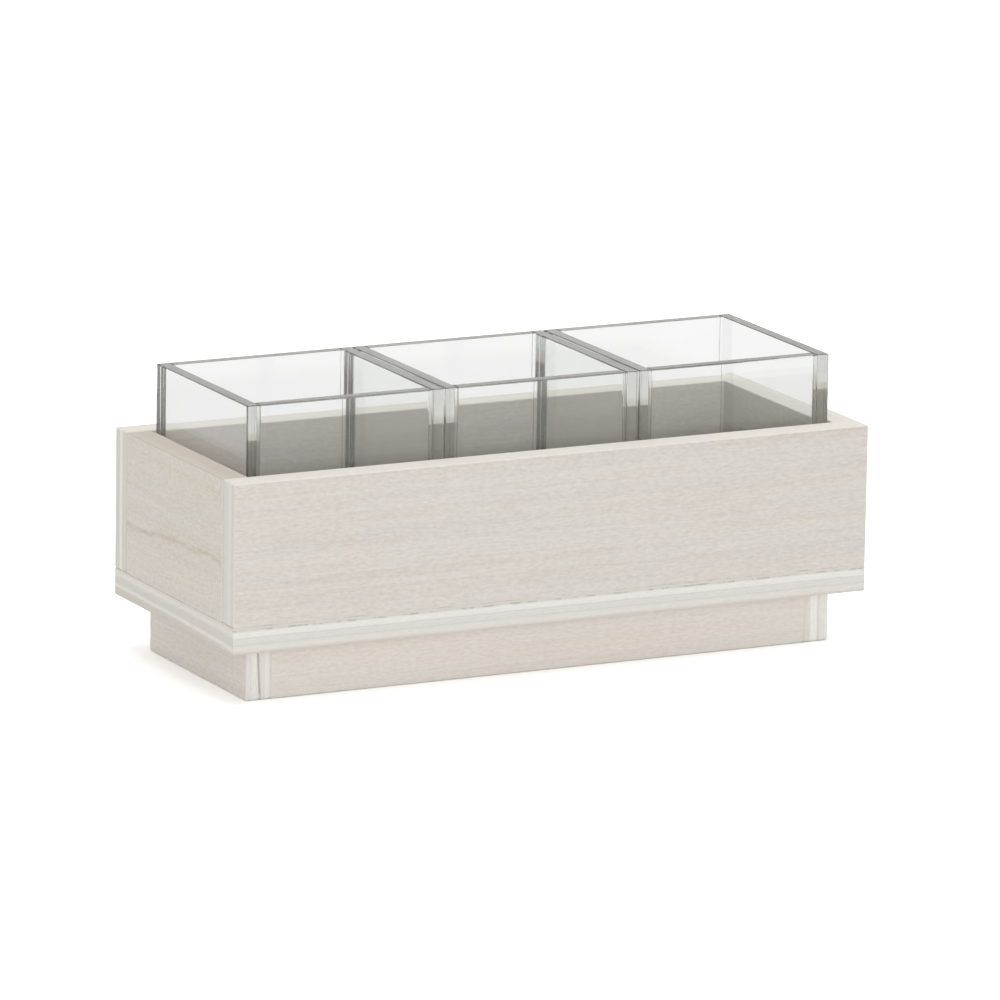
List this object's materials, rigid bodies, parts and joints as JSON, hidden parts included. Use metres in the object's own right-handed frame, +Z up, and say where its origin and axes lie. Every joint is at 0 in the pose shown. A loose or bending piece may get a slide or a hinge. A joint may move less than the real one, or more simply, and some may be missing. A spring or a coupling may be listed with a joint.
{
  "type": "jar display stand",
  "caption": "Open rectangular display box of white-washed plywood on a set-back plinth, holding a row of square clear acrylic jars that lift straight out.",
  "frame": {"origin": "middle of the footprint, on the surface that the plinth stands on", "axes": "+X along the row of jars, to the right as seen from the front; +Y from the front to the back; +Z up"},
  "size_m": [0.333, 0.133, 0.1397],
  "materials": {
    "whitewashed_plywood": "white-washed, matt, with fine grain and layered edges",
    "pine": "raw softwood",
    "acrylic": "clear cast acrylic sheet with polished edges",
    "zinc_steel": "bright zinc plate"
  },
  "bodies": {
    "stand": {"front_panel": "whitewashed_plywood", "back_panel": "whitewashed_plywood", "left_end_panel": "whitewashed_plywood", "right_end_panel": "whitewashed_plywood", "base_board": "whitewashed_plywood", "plinth_front_rail": "whitewashed_plywood", "plinth_back_rail": "whitewashed_plywood", "plinth_left_rail": "whitewashed_plywood", "plinth_right_rail": "whitewashed_plywood", "corner_block_front_left": "pine", "corner_block_front_right": "pine", "corner_block_back_left": "pine", "corner_block_back_right": "pine", "wall_screw_front_left": "zinc_steel", "wall_screw_front_centre": "zinc_steel", "wall_screw_front_right": "zinc_steel", "wall_screw_back_left": "zinc_steel", "wall_screw_back_centre": "zinc_steel", "wall_screw_back_right": "zinc_steel", "wall_screw_left_end": "zinc_steel", "wall_screw_right_end": "zinc_steel", "block_screw_front_left": "zinc_steel", "block_screw_front_right": "zinc_steel", "block_screw_back_left": "zinc_steel", "block_screw_back_right": "zinc_steel", "box_brad_front_left_lower": "zinc_steel", "box_brad_front_left_upper": "zinc_steel", "box_brad_front_right_lower": "zinc_steel", "box_brad_front_right_upper": "zinc_steel", "box_brad_back_left_lower": "zinc_steel", "box_brad_back_left_upper": "zinc_steel", "box_brad_back_right_lower": "zinc_steel", "box_brad_back_right_upper": "zinc_steel", "plinth_brad_front_left_lower": "zinc_steel", "plinth_brad_front_left_upper": "zinc_steel", "plinth_brad_front_right_lower": "zinc_steel", "plinth_brad_front_right_upper": "zinc_steel", "plinth_brad_back_left_lower": "zinc_steel", "plinth_brad_back_left_upper": "zinc_steel", "plinth_brad_back_right_lower": "zinc_steel", "plinth_brad_back_right_upper": "zinc_steel"},
    "left_jar": {"left_jar_floor": "acrylic", "left_jar_left_wall": "acrylic", "left_jar_right_wall": "acrylic", "left_jar_front_wall": "acrylic", "left_jar_back_wall": "acrylic"},
    "centre_jar": {"centre_jar_floor": "acrylic", "centre_jar_left_wall": "acrylic", "centre_jar_right_wall": "acrylic", "centre_jar_front_wall": "acrylic", "centre_jar_back_wall": "acrylic"},
    "right_jar": {"right_jar_floor": "acrylic", "right_jar_left_wall": "acrylic", "right_jar_right_wall": "acrylic", "right_jar_front_wall": "acrylic", "right_jar_back_wall": "acrylic"}
  },
  "joints": [
    {"name": "left_jar_lift", "type": "slide", "parent": "stand", "child": "left_jar", "axis": [0, 0, 1], "range_m": [0, 0.11]},
    {"name": "centre_jar_lift", "type": "slide", "parent": "stand", "child": "centre_jar", "axis": [0, 0, 1], "range_m": [0, 0.11]},
    {"name": "right_jar_lift", "type": "slide", "parent": "stand", "child": "right_jar", "axis": [0, 0, 1], "range_m": [0, 0.11]}
  ]
}
